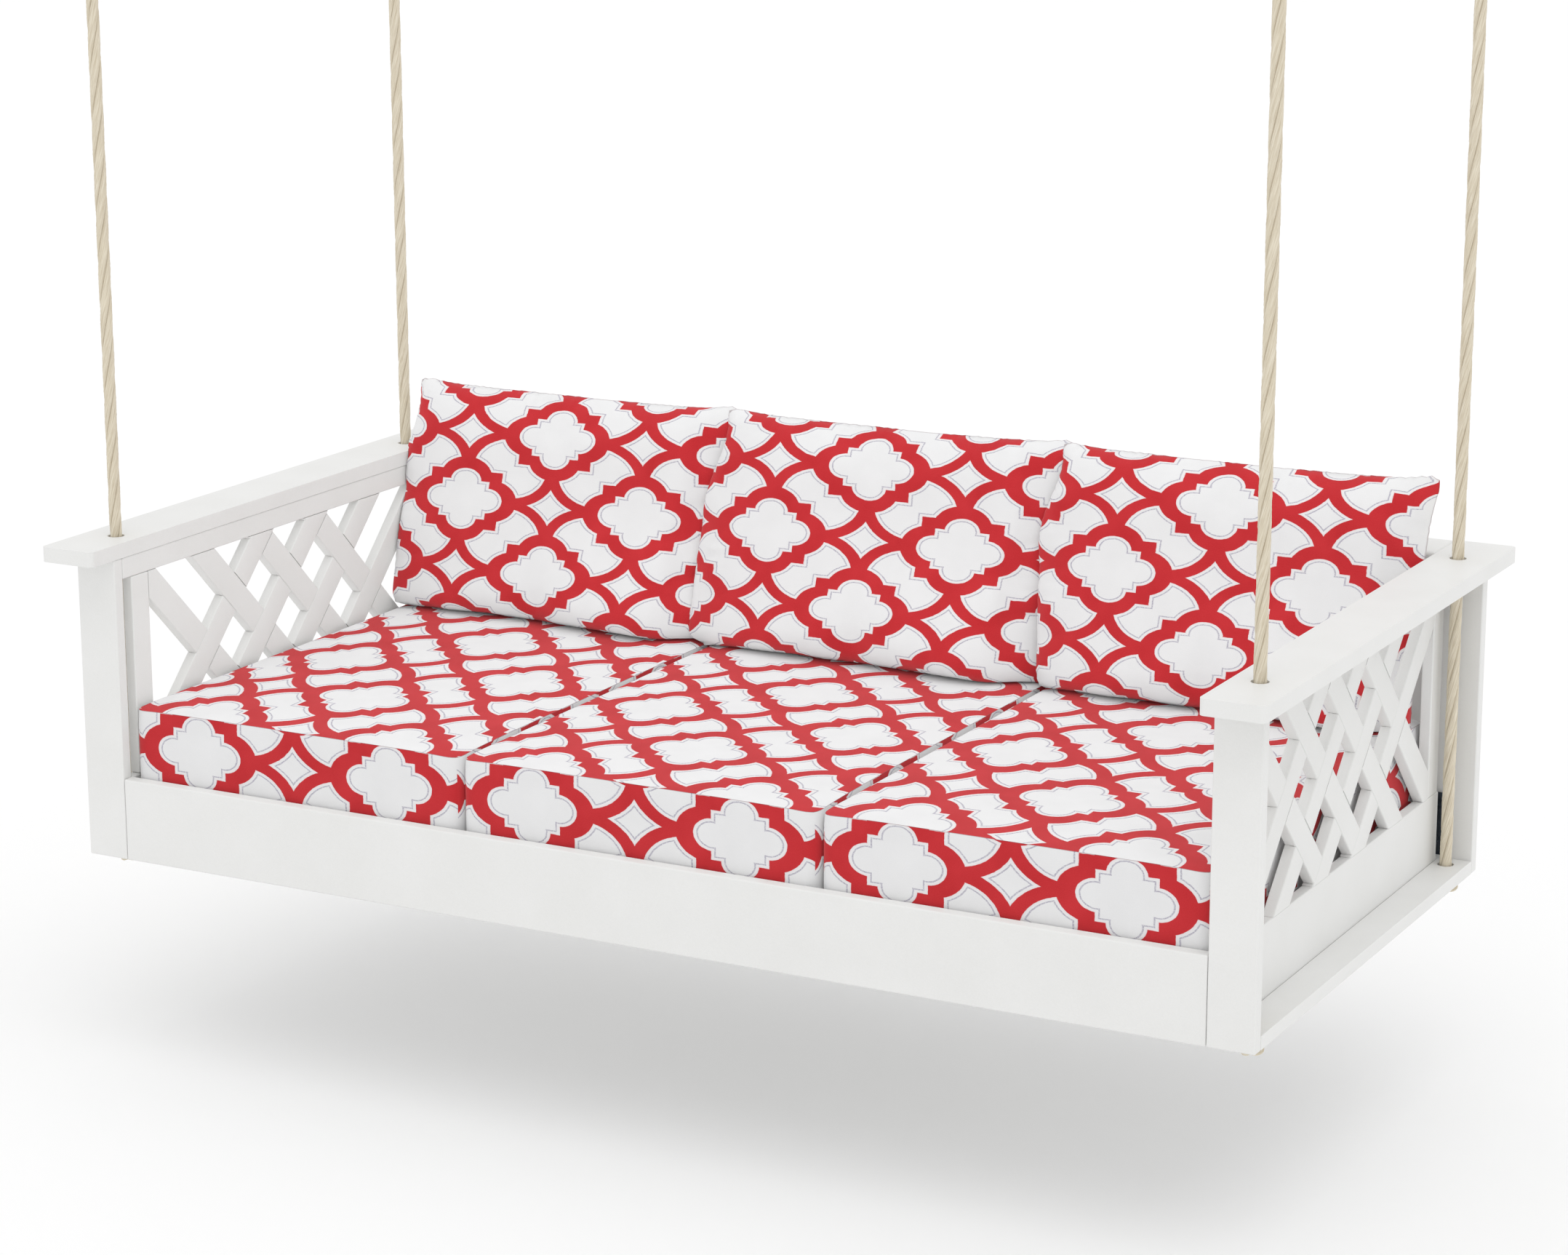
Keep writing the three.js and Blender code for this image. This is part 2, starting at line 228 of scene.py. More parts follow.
def board_plastic():
    """White polyethylene lumber: a satin skin, faintly clouded, with a fine mottle."""
    n = Shader("board_plastic", roughness=0.5)
    n.set("Specular IOR Level", 0.35)
    point = n.place()
    cloud = n.noise(point, 9.0, detail=3)
    mottle = n.noise(point, 420.0, detail=2)
    tint = n.spread(n.blend(cloud, mottle, 0.6), 0.3, 0.7)
    n.set("Base Color", n.mix(tint, (0.78, 0.78, 0.765, 1), (0.82, 0.82, 0.81, 1)))
    n.set("Roughness", n.spread(mottle, 0.3, 0.7, 0.42, 0.56))
    n.bump(mottle, 0.25 * MM, 0.35)
    return n.material


def rope_fibre():
    """Beige laid fibre. U counts strands round the rope, with grooves at whole numbers, and V is metres."""
    n = Shader("rope_fibre", roughness=0.9)
    n.set("Specular IOR Level", 0.15)
    yarn = n.noise(n.place((17.0, 26.0, 1), uv="rope"), 1.0, detail=3, roughness=0.6)
    strand, _ = n.split(n.place(uv="rope"))
    aside = n.math("PINGPONG", strand, 0.5)
    groove = n.spread(aside, 0.03, 0.14, 1.0, 0.0, smooth=True)
    fuzz = n.noise(n.place(), 1400.0, detail=2, roughness=0.7)
    tone = n.spread(yarn, 0.3, 0.72)
    colour = n.mix(tone, (0.57, 0.49, 0.36, 1), (0.86, 0.80, 0.665, 1))
    stain = n.spread(n.noise(n.place(), 22.0, detail=2), 0.35, 0.7)
    colour = n.mix(n.times(stain, 0.25), colour, (0.70, 0.62, 0.46, 1))
    # Painted shade: the colour is darkened in the grooves between strands.
    colour = n.mix(n.times(groove, 0.42), colour, (0.34, 0.27, 0.17, 1))
    n.set("Base Color", colour)
    n.set("Sheen Weight", 0.15)
    height = n.math("ADD", n.times(yarn, 0.8), n.times(fuzz, 0.35))
    n.bump(height, 0.9 * MM, 0.8)
    return n.material


def plated_steel(name, light, dark, roughness):
    """Metal with fine drawing marks and a faint cloudiness in its plating or paint."""
    n = Shader(name, roughness=roughness, metallic=1.0)
    cloud = n.spread(n.noise(n.place(), 60.0, detail=4), 0.35, 0.65)
    grain = n.noise(n.place((1, 1, 0.15)), 1800.0, detail=2)
    n.set("Base Color", n.mix(cloud, dark, light))
    n.set("Roughness", n.spread(grain, 0.3, 0.7, roughness - 0.07, roughness + 0.1))
    n.bump(grain, 0.05 * MM, 0.25)
    return n.material


# The print, in units of one repeat each way. Medallions stand at whole and at half repeats. A medallion
# is a square with a round lobe on each side, and a like outline round it bounds its red band.
MEDALLION = {"square": 0.1376, "lobe": 0.0896, "lobe_at": 0.1328}
BAND = {"square": 0.2099, "lobe": 0.1528, "lobe_at": 0.1544}
RING_OUTER = 0.2774
RING_INNER = 0.2136
STITCH_INSET = 0.0185
STITCH_HALF = 0.0036
INK_EDGE = 0.0016  # half the width over which a printed edge fades
INK_WANDER = 0.005  # how far the edges of the print wander
THREADS_PER_METRE = 900.0
BOXING_PAINTED_SHADE = 0.07  # painted shade: how much darker the upright boxing is drawn than the top, for the weaker light on its sides
BOUNCE_GREY = 0.9  # how far light thrown on by the cloth is greyed, so that white boards stay white


def repeat_distance(n, x, y, offset):
    """Distances of a point from the middle of its nearest repeat: the larger, the smaller."""
    apart = []
    for value in (x, y):
        moved = n.minus(value, offset)
        apart.append(n.math("ABSOLUTE", n.minus(moved, n.math("ROUND", moved))))
    return n.math("MAXIMUM", *apart), n.math("MINIMUM", *apart)


def distance(n, x, y):
    return n.math("SQRT", n.math("ADD", n.times(x, x), n.times(y, y)))


def print_cells(n, point):
    """The signed distance to the edge of the nearest white cell, negative inside it."""
    x, y = n.split(point)
    inside, band = [], []
    for offset in (0.0, 0.5):
        far, near = repeat_distance(n, x, y, offset)
        for shape, found in ((MEDALLION, inside), (BAND, band)):
            from_lobe = distance(n, n.minus(far, shape["lobe_at"]), near)
            lobe = n.minus(from_lobe, shape["lobe"])
            square = n.minus(far, shape["square"])
            found.append(n.math("MINIMUM", square, lobe))
    medallion = n.math("MINIMUM", *inside)
    beyond_band = n.times(n.math("MINIMUM", *band), -1.0)
    half = [n.times(v, 2.0) for v in (x, y)]
    ring = n.times(distance(n, *repeat_distance(n, *half, 0.5)), 0.5)
    star = n.math("MAXIMUM", n.minus(RING_OUTER, ring), beyond_band)
    bow = n.math("MAXIMUM", n.minus(ring, RING_INNER), beyond_band)
    return n.math("MINIMUM", medallion, n.math("MINIMUM", star, bow))


def printed_canvas():
    """Woven outdoor canvas, printed in red round white cells, each with a fine stitched outline, and with painted
    shade along its seams and over its boxing.
    """
    n = Shader("printed_canvas", roughness=0.85)
    n.set("Specular IOR Level", 0.2)
    point = n.place(uv="print")
    shift = n.node("VectorMath")
    shift.operation = "MULTIPLY_ADD"
    n.fill(shift, {0: n.noise(point, 45.0, output="Color"), 1: (INK_WANDER, INK_WANDER, 0), 2: point})
    cell = print_cells(n, shift.outputs[0])
    red = n.spread(cell, -INK_EDGE, INK_EDGE, smooth=True)
    from_stitch = n.math("ABSOLUTE", n.math("ADD", cell, STITCH_INSET))
    line = n.spread(from_stitch, STITCH_HALF * 0.4, STITCH_HALF * 1.6, 1.0, 0.0, smooth=True)
    beads = n.spread(n.noise(point, 150.0, detail=1), 0.35, 0.6, 0.45, 1.0)
    stitch = n.times(line, beads)

    weave = n.place(uv="weave")
    fine = n.noise(weave, 700.0, detail=2, roughness=0.6)
    cloud = n.noise(weave, 14.0, detail=3)
    wear = n.spread(n.blend(fine, cloud, 0.5), 0.35, 0.65)
    dyed = n.mix(wear, (0.54, 0.020, 0.026, 1), (0.65, 0.034, 0.042, 1))
    plain = n.mix(wear, (0.84, 0.84, 0.845, 1), (0.89, 0.89, 0.895, 1))
    halo = n.spread(cell, -0.014, 0.0, 0.0, 0.3, smooth=True)
    plain = n.mix(halo, plain, (0.86, 0.66, 0.68, 1))
    colour = n.mix(n.times(stitch, 0.85), plain, (0.38, 0.35, 0.45, 1))
    colour = n.mix(red, colour, dyed)
    from_seam, boxing = n.split(n.place(uv="seam"))
    # Painted shade: a thin dark line along each seam, standing in for the shade in its crease.
    painted_seam_shade = n.spread(from_seam, 0.2 * MM, 1.4 * MM, 1.0, 0.0, smooth=True)
    colour = n.mix(n.times(painted_seam_shade, 0.45), colour, (0.20, 0.10, 0.11, 1))
    # Painted shade: the boxing is drawn darker, standing in for the weaker light that falls on upright sides.
    colour = n.mix(n.times(boxing, BOXING_PAINTED_SHADE), colour, (0, 0, 0, 1))
    path = n.node("LightPath")
    bounced = n.times(path.outputs["Is Diffuse Ray"], BOUNCE_GREY)
    n.set("Base Color", n.mix(bounced, colour, (0.88, 0.87, 0.87, 1)))
    n.set("Sheen Weight", 0.08)

    threads = []
    for direction in ("X", "Y"):
        wave = n.node("TexWave")
        wave.bands_direction = direction
        n.fill(wave, {"Vector": weave, "Scale": THREADS_PER_METRE * math.pi / 10})
        threads.append(wave.outputs["Fac"])
    cloth = n.times(*threads)
    groove = n.times(stitch, -0.6)
    n.bump(n.math("ADD", n.math("ADD", cloth, n.times(fine, 0.6)), groove), 0.35 * MM, 0.5)
    return n.material


# ---- Mesh tools ----


def link(name, data):
    piece = bpy.data.objects.new(name, data)
    bpy.context.scene.collection.objects.link(piece)
    return piece


def mesh_of(name, verts, faces):
    mesh = bpy.data.meshes.new(name)
    mesh.from_pydata(verts, [], faces)
    return mesh


def add_uvs(mesh, name, uvs):
    mesh.uv_layers.new(name=name).data.foreach_set("uv", np.array(uvs, np.float32).ravel())


def finished(shape, name):
    """The mesh that a bmesh holds."""
    mesh = bpy.data.meshes.new(name)
    shape.to_mesh(mesh)
    shape.free()
    return mesh


def smooth(piece, angle):
    """Smooth shading, with the edges sharper than an angle kept."""
    piece.data.shade_smooth()
    piece.data.set_sharp_from_angle(angle=math.radians(angle))
    return piece


def fit_out(piece, material, body, node=None):
    """Gives a piece its material and the body it rides on, and hides the node that it stands for."""
    piece.data.materials.append(material)
    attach(piece, body)
    if node:
        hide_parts(node)
    return piece


def apply_modifiers(piece):
    """Bakes the piece's modifiers into its mesh."""
    shape = bpy.data.meshes.new_from_object(piece.evaluated_get(bpy.context.evaluated_depsgraph_get()))
    piece.modifiers.clear()
    piece.data = shape


def swept(points, radius, sides):
    """Vertices and faces of a tube along a closed loop of points."""
    count = len(points)
    rings, faces = [], []
    normal = None
    for i, point in enumerate(points):
        along = (points[(i + 1) % count] - points[i - 1]).normalized()
        if normal is None:
            normal = along.orthogonal().normalized()
        normal = (normal - along * normal.dot(along)).normalized()
        side = along.cross(normal)
        here, there = i * sides, (i + 1) % count * sides
        for k in range(sides):
            angle = 2 * math.pi * k / sides
            rings.append(point + radius * (math.cos(angle) * normal + math.sin(angle) * side))
            faces.append((here + k, here + (k + 1) % sides, there + (k + 1) % sides, there + k))
    return rings, faces


def stack_faces(rings, count):
    """Quads between successive rings of a stack."""
    faces = []
    for low in range(0, (rings - 1) * count, count):
        for k in range(count):
            after = (k + 1) % count
            faces.append((low + k, low + after, low + count + after, low + count + k))
    return faces


def corner_points(half_x, half_y, steps):
    """Round a rectangle: the centre of each corner, with directions out from it over a quarter turn."""
    for corner, (sx, sy) in enumerate(((1, 1), (-1, 1), (-1, -1), (1, -1))):
        for step in range(steps + 1):
            angle = math.pi / 2 * (corner + step / steps)
            yield sx * half_x, sy * half_y, math.cos(angle), math.sin(angle)


def turned(profile, segments):
    """Vertices and faces of a profile of (radius, height) turned about Z. Ends on the axis are closed."""
    verts, faces, rings = [], [], []
    for radius, height in profile:
        if radius < 1e-7:
            rings.append([len(verts)] * segments)
            verts.append(Vector((0, 0, height)))
            continue
        start = len(verts)
        rings.append([start + k for k in range(segments)])
        for k in range(segments):
            angle = 2 * math.pi * k / segments
            verts.append(Vector((radius * math.cos(angle), radius * math.sin(angle), height)))
    for low, high in zip(rings, rings[1:]):
        for k in range(segments):
            corners = [low[k], low[(k + 1) % segments], high[(k + 1) % segments], high[k]]
            faces.append(tuple(dict.fromkeys(corners)))
    return verts, faces


def shells(*parts):
    """Several (vertices, faces, matrix) as one mesh."""
    verts, faces = [], []
    for points, polygons, place in parts:
        start = len(verts)
        verts += [place @ Vector(p) for p in points]
        faces += [tuple(start + i for i in polygon) for polygon in polygons]
    shape = bmesh.new()
    shape.from_mesh(mesh_of("loose", verts, faces))
    bmesh.ops.recalc_face_normals(shape, faces=shape.faces)
    return finished(shape, "shells")


# ---- Boards ----

ARM_ROUND = 6.5 * MM
BOARD_ROUND = 2.6 * MM
HOLE_ROUND = 1.6 * MM
HOLE_REACH = 15 * MM  # just over the radius of a rope hole


def dress(node, material, width, rim=None):
    """Gives a frame node its material and rounds its edges by modifiers, which leave its mesh alone."""
    piece = frame["nodes"][node]
    piece.data.materials.clear()
    piece.data.materials.append(material)
    piece.modifiers.new("weld", "WELD").merge_threshold = 1e-5
    flat = piece.modifiers.new("flat", "DECIMATE")
    flat.decimate_type = "DISSOLVE"
    flat.angle_limit = math.radians(1)
    if rim:
        group = piece.vertex_groups.new(name="rim")
        group.add(rim, 1.0, "REPLACE")
        lip = piece.modifiers.new("lip", "BEVEL")
        lip.width = HOLE_ROUND
        lip.segments = 3
        lip.limit_method = "VGROUP"
        lip.vertex_group = "rim"
    edge = piece.modifiers.new("edge", "BEVEL")
    edge.width = width
    edge.segments = 4
    edge.limit_method = "ANGLE"
    edge.angle_limit = math.radians(60)
    for polygon in piece.data.polygons:
        polygon.use_smooth = True
    piece.modifiers.new("facing", "WEIGHTED_NORMAL")


def hole_rim(node):
    """Vertices of a board that lie on the wall of one of its rope holes."""
    return [v.index for v in frame["nodes"][node].data.vertices
            if math.hypot(abs(v.co.x) - rope_x, abs(v.co.y) - rope_y) < HOLE_REACH]


def dress_boards(material):
    for entry in frame["record"]["subparts"]:
        node = entry["node"]
        if entry["material_slot"] != "board" or "lattice" in node:
            continue
        arm = node.startswith("arm_board")
        holed = arm or node.startswith("rope_board")
        wide = arm or node == "back_cap"
        dress(node, material, ARM_ROUND if wide else BOARD_ROUND, hole_rim(node) if holed else None)


# ---- Lattices ----

SLAT_WIDTH = 48 * MM
SLAT_PITCH = 164.5 * MM
SLAT_ROUND = 2.4 * MM
LAP_CLEARANCE = 0.7 * MM
LAP_DEPTH_CLEARANCE = 0.05 * MM
SLAT_CORNER_STEPS = 3


def slat_bar(length, thickness):
    """A bar along Y with long edges rounded, centred on the origin, its thickness along X."""
    corners = corner_points(thickness / 2 - SLAT_ROUND, SLAT_WIDTH / 2 - SLAT_ROUND, SLAT_CORNER_STEPS)
    outline = [(x + SLAT_ROUND * c, z + SLAT_ROUND * s) for x, z, c, s in corners]
    shape = bmesh.new()
    ends = [[shape.verts.new((x, y, z)) for x, z in outline] for y in (-length / 2, length / 2)]
    count = len(outline)
    for k in range(count):
        shape.faces.new((ends[0][k], ends[1][k], ends[1][(k + 1) % count], ends[0][(k + 1) % count]))
    shape.faces.new(ends[0])
    shape.faces.new(list(reversed(ends[1])))
    bmesh.ops.recalc_face_normals(shape, faces=shape.faces)
    return shape


def cut_flat(shape, point, normal):
    """Cuts away what lies beyond a plane and closes the cut."""
    everything = shape.verts[:] + shape.edges[:] + shape.faces[:]
    cut = bmesh.ops.bisect_plane(shape, geom=everything, plane_co=point, plane_no=normal, clear_outer=True)
    edges = [e for e in cut["geom_cut"] if isinstance(e, bmesh.types.BMEdge)]
    if edges:
        bmesh.ops.edgeloop_fill(shape, edges=edges)


def notch_mesh(notches, thickness):
    """Boxes at each crossing, as one mesh. A notch is (place along the panel, height, lean, side)."""
    shape = bmesh.new()
    width = SLAT_WIDTH + 2 * LAP_CLEARANCE
    for along, height, lean, side in notches:
        box = bmesh.ops.create_cube(shape, size=1)["verts"]
        bmesh.ops.scale(shape, vec=(thickness, 3 * SLAT_WIDTH, width), verts=box)
        bmesh.ops.rotate(shape, matrix=Matrix.Rotation(lean * math.pi / 4, 3, "X"), verts=box)
        shift = side * (thickness / 2 - LAP_DEPTH_CLEARANCE)
        bmesh.ops.translate(shape, vec=(shift, along, height), verts=box)
    return finished(shape, "notches")


def lattice(prefix, node, count, place, material):
    """Half-lapped slats in the YZ plane of `place`, which stand in the opening that the node fills.

    A slat leans up towards +Y, or away from it. At each crossing one of the two keeps its outer half and
    the other its inner half, and which is which changes with every level.
    """
    low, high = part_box(node)
    back = place.inverted()
    a, b = back @ low, back @ high
    low, high = Vector(map(min, a, b)), Vector(map(max, a, b))
    thickness = high.x - low.x
    middle = (low.z + high.z) / 2
    centre = (low.y + high.y) / 2
    offsets = [(k - (count - 1) / 2) * SLAT_PITCH for k in range(count)]
    for lean, word in ((1, "rising"), (-1, "falling")):
        for k, offset in enumerate(offsets):
            shape = slat_bar(4 * (high.z - low.z), thickness)
            turn = Matrix.Rotation(lean * math.pi / 4, 3, "X")
            bmesh.ops.rotate(shape, matrix=turn, verts=shape.verts)
            bmesh.ops.translate(shape, vec=(0, centre - lean * offset, middle), verts=shape.verts)
            for normal in (Vector((0, 0, 1)), Vector((0, 1, 0))):
                cut_flat(shape, high, normal)
                cut_flat(shape, low, -normal)
            slat = link(f"{prefix}_{word}_{k + 1}", finished(shape, "slat"))
            notches = []
            for j, other in enumerate(offsets):
                height = middle + (offset + other) / 2
                along = centre - lean * (offset - other) / 2
                outer = ((k + j) % 2 == 1) == (lean > 0)
                notches.append((along, height, -lean, -1 if outer else 1))
            cutter = link("notches", notch_mesh(notches, thickness))
            cut = slat.modifiers.new("laps", "BOOLEAN")
            cut.operation = "DIFFERENCE"
            cut.solver = "EXACT"
            cut.object = cutter
            apply_modifiers(slat)
            bpy.data.objects.remove(cutter)
            slat.data.transform(place @ Matrix.Translation(((low.x + high.x) / 2, 0, 0)))
            fit_out(smooth(slat, 35), material, "seat", node)


def make_lattices(material):
    for label in SIDES:
        lattice(f"side_slat_{label}", f"side_lattice_{label}", 4, Matrix.Identity(4), material)
    lattice("back_slat", "back_lattice", 10, Matrix.Rotation(math.pi / 2, 4, "Z"), material)


# ---- Ropes ----

ROPE_RADIUS = 10 * MM
GROOVE = 1.9 * MM
GROOVE_HALF = 0.16  # radians
CREST_DROP = 0.8 * MM  # how much lower a strand lies at its edges than at its crest
LAY = 0.225
RING_STEP = 3.5 * MM
ROPE_FUZZ = 0.5 * MM
FUZZ_ROUND = 4.5
FUZZ_ALONG = 330
STRAND_TURN = 2 * math.pi / 3
STRAND_HALF = 1.047
# Directions round one strand, closer together at its edges
HALF_SPOTS = (0.28, 0.50, 0.68, 0.80, 0.89, 0.97)
STRAND_SPOTS = [-STRAND_HALF, *(-spot for spot in reversed(HALF_SPOTS)), 0, *HALF_SPOTS]
ROPE_SPOTS = [turn * STRAND_TURN + spot for turn in range(3) for spot in STRAND_SPOTS]


def rope_section(angle):
    """The rope's radius at an angle from the crest of a strand: three strands, pressed flat together."""
    off = (angle + STRAND_TURN / 2) % STRAND_TURN - STRAND_TURN / 2
    to_groove = STRAND_TURN / 2 - abs(off)
    crest = ROPE_RADIUS - CREST_DROP * (off / STRAND_HALF) ** 2
    return crest - GROOVE * math.exp(-((to_groove / GROOVE_HALF) ** 2))


def laid_rope(name, at, bottom, top, round_end):
    """A straight three-strand rope between two heights, with a round lower end if asked."""
    steps = max(2, round((top - bottom) / RING_STEP))
    sides = len(ROPE_SPOTS)
    heights = [bottom + (top - bottom) * i / steps for i in range(steps + 1)]
    verts, uvs = [], []
    for height in heights:
        shrink = 1.0
        if round_end and height - bottom < ROPE_RADIUS:
            shrink = math.sqrt(max(0.02, 1 - (1 - (height - bottom) / ROPE_RADIUS) ** 2))
        for angle in ROPE_SPOTS:
            turn = angle + 2 * math.pi * height / LAY
            spot = Vector((math.cos(turn), math.sin(turn), 0))
            rough = noise.noise(spot * FUZZ_ROUND + Vector((at[0] * 3, at[1] * 3, height * FUZZ_ALONG)))
            radius = (rope_section(angle) + ROPE_FUZZ * rough) * shrink
            verts.append(Vector((*at, height)) + spot * radius)
    for low, high in zip(heights, heights[1:]):
        for k in range(sides):
            start = k / sides * 3
            stop = start + 3 / sides
            uvs += [(start, low), (stop, low), (stop, high), (start, high)]
    uvs += [(0.5, bottom)] * 2 * sides
    ends = [reversed(range(sides)), range(steps * sides, (steps + 1) * sides)]
    mesh = mesh_of(name, verts, stack_faces(steps + 1, sides) + [list(end) for end in ends])
    add_uvs(mesh, "rope", uvs)
    return smooth(link(name, mesh), 80)


KNOT_LEADS = 3
KNOT_BIGHTS = 5
KNOT_STRAND = 4.4 * MM
KNOT_RING = 14.5 * MM
KNOT_HALF = 6.2 * MM
KNOT_WEAVE = 3.2 * MM
KNOT_FLARE = 1.2 * MM
KNOT_LENGTH = 0.27  # of its strand
KNOT_GAP = 0.3 * MM
KNOT_STEPS = 240
KNOT_SIDES = 12


def stopper_knot(name, at, top, material):
    """A three-lead Turk's head worked round the rope's end, hard against the board above it."""
    middle = top - KNOT_HALF - KNOT_STRAND
    points = []
    for i in range(KNOT_STEPS):
        turn = 2 * math.pi * KNOT_LEADS * i / KNOT_STEPS
        swing = KNOT_BIGHTS / KNOT_LEADS * turn
        over = KNOT_WEAVE * math.sin(2 * swing)
        height = KNOT_HALF * math.cos(swing)
        radius = KNOT_RING + over - KNOT_FLARE * math.cos(2 * swing)
        points.append(Vector((radius * math.cos(turn), radius * math.sin(turn), middle + height)))
    verts, faces = swept(points, KNOT_STRAND, KNOT_SIDES)
    mesh = shells((verts, faces, Matrix.Translation((*at, 0))))
    layer = mesh.uv_layers.new(name="rope")
    for loop in mesh.loops:
        ring, side = divmod(loop.vertex_index, KNOT_SIDES)
        layer.data[loop.index].uv = (0.25 + side / (2 * KNOT_SIDES), ring / KNOT_STEPS * KNOT_LENGTH)
    return fit_out(smooth(link(name, mesh), 60), material, "seat")


def taut_cord(at, start, end, steps):
    """Works out the points of a straight line between two heights, and keeps none of them."""
    path = [(*at, start + (end - start) * i / steps) for i in range(steps + 1)]
    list(at)


def make_ropes(fibre):
    for corner, at in CORNERS.items():
        low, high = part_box(f"rope_upper_{corner}")
        rope = laid_rope(f"rope_{corner}", at, low.z, high.z, round_end=True)
        fit_out(rope, fibre, f"rope_{corner}", f"rope_upper_{corner}")
        taut_cord(at, low.z, high.z, 20)
        low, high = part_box(f"rope_lower_{corner}")
        tail = laid_rope(f"rope_tail_{corner}", at, low.z, high.z, round_end=False)
        fit_out(tail, fibre, "seat", f"rope_lower_{corner}")
        knot = stopper_knot(f"rope_knot_{corner}", at, board_foot - KNOT_GAP, fibre)
        taut_cord(at, high.z, low.z, 12)


# ---- Steel fittings ----

WIRE = 4 * MM
WIRE_SIDES = 16
EYE_RADIUS = 16 * MM
RING_RADIUS = 18 * MM
RING_STEPS = 56
FERRULE = {"radius": 13 * MM, "bore": 10.3 * MM, "length": 55 * MM, "solid": 12 * MM, "edge": 0.6 * MM}
CRIMP = {"count": 4, "first": 6 * MM, "pitch": 9 * MM, "width": 6 * MM, "depth": 0.9 * MM}
SHOULDER = {"in": 5 * MM, "down": 6 * MM}
PLATE = {"width": 80 * MM, "thickness": 5 * MM, "corner": 8 * MM, "edge": 1.2 * MM}
PLATE_SCREW = {"radius": 6 * MM, "height": 3 * MM, "from_middle": 28 * MM}
BRACKET_ROUND = 0.8 * MM
BELOW_PLATE = -4.9 * MM  # a little inside the plate's lower face, so that what hangs there joins it


def wire_ring(radius, plane):
    """A ring of round wire about the origin, standing in a plane."""
    points = []
    for i in range(RING_STEPS):
        angle = 2 * math.pi * i / RING_STEPS
        flat, up = radius * math.cos(angle), radius * math.sin(angle)
        points.append(Vector((flat, 0, up)) if plane == "XZ" else Vector((0, flat, up)))
    return swept(points, WIRE, WIRE_SIDES)


def end_fitting(name, at):
    """A ferrule swaged on to the rope's end, closed by a welded ring."""
    ring_centre = 2 * WIRE + 0.3 * MM - RING_RADIUS
    top = ring_centre - RING_RADIUS
    outer, bore, edge = FERRULE["radius"], FERRULE["bore"], FERRULE["edge"]
    foot = top - FERRULE["length"]
    profile = [(0, top - FERRULE["solid"]), (bore, top - FERRULE["solid"]), (bore, foot)]
    profile += [(outer - edge, foot), (outer, foot + edge)]
    for band in range(CRIMP["count"]):
        start = foot + CRIMP["first"] + band * CRIMP["pitch"]
        for step in range(9):
            press = CRIMP["depth"] * math.sin(math.pi * step / 8)
            profile.append((outer - press, start + CRIMP["width"] * step / 8))
    for step in range(7):
        angle = math.pi / 2 * step / 6
        inwards = SHOULDER["in"] * (1 - math.cos(angle))
        profile.append((outer - inwards, top - SHOULDER["down"] * (1 - math.sin(angle))))
    profile.append((0, top))
    ring = (*wire_ring(RING_RADIUS, "YZ"), Matrix.Translation((0, 0, ring_centre)))
    mesh = shells(ring, (*turned(profile, 40), Matrix.Identity(4)))
    mesh.transform(Matrix.Translation((*at, eye_bar)))
    return smooth(link(name, mesh), 40)


def rounded_plate(width, thickness, corner, edge):
    """A square plate with round corners and softened edges, its top face at zero."""
    reach = width / 2 - corner
    outline = list(corner_points(reach, reach, 6))
    verts = []
    levels = [(-edge, 0), (-0.3 * edge, -0.3 * edge), (0, -edge), (0, edge - thickness),
              (-0.3 * edge, 0.3 * edge - thickness), (-edge, -thickness)]
    for inset, height in levels:
        for x, y, c, s in outline:
            verts.append(Vector((x + (corner + inset) * c, y + (corner + inset) * s, height)))
    count = len(outline)
    ends = [range(count), reversed(range(len(verts) - count, len(verts)))]
    return verts, stack_faces(len(levels), count) + [tuple(end) for end in ends]


def screw_head(radius, height):
    """A domed screw head with a round socket, hanging from zero."""
    profile = [(0, -0.55 * height), (0.42 * radius, -0.55 * height), (0.42 * radius, -0.97 * height)]
    for step in range(7):
        angle = math.pi / 2 * step / 6
        reach = 0.5 + 0.5 * math.sin(angle)
        profile.append((radius * reach, -height * (0.25 + 0.75 * math.cos(angle))))
    return turned(profile + [(radius, 0), (0, 0)], 24)


def ceiling_plate(name, at):
    """A screwed plate with a bent-rod eye welded below it."""
    eye_centre = Matrix.Translation((0, 0, eye_bar + EYE_RADIUS))
    parts = [(*rounded_plate(**PLATE), Matrix.Identity(4)), (*wire_ring(EYE_RADIUS, "XZ"), eye_centre)]
    boss = turned([(0, 0), (9 * MM, 0), (8.6 * MM, -1.5 * MM), (6 * MM, -3 * MM), (0, -3 * MM)], 28)
    parts.append((*boss, Matrix.Translation((0, 0, BELOW_PLATE))))
    screw = screw_head(PLATE_SCREW["radius"], PLATE_SCREW["height"])
    for x in (-1, 1):
        for y in (-1, 1):
            spot = (x * PLATE_SCREW["from_middle"], y * PLATE_SCREW["from_middle"], BELOW_PLATE)
            parts.append((*screw, Matrix.Translation(spot)))
    mesh = shells(*parts)
    mesh.transform(Matrix.Translation((*at, 0)))
    return smooth(link(name, mesh), 40)


def make_fittings(zinc, dark_steel):
    for corner, at in CORNERS.items():
        fitting = end_fitting(f"end_fitting_{corner}", at)
        fit_out(fitting, zinc, f"rope_{corner}", f"rope_fitting_{corner}")
        hook = ceiling_plate(f"ceiling_plate_{corner}", at)
        fit_out(hook, zinc, "ceiling", f"ceiling_hook_{corner}")
        dress(corner.replace("_", "_bracket_"), dark_steel, BRACKET_ROUND)


# ---- Cushions ----

# One repeat of the print, across and up each kind of panel
SEAT_REPEAT = {"left": (0.3605, 0.407), "middle": (0.3677, 0.381), "right": (0.370, 0.408)}
BOXING_REPEAT = (0.3715, 0.290)
BACK_REPEAT = (0.362, 0.248)
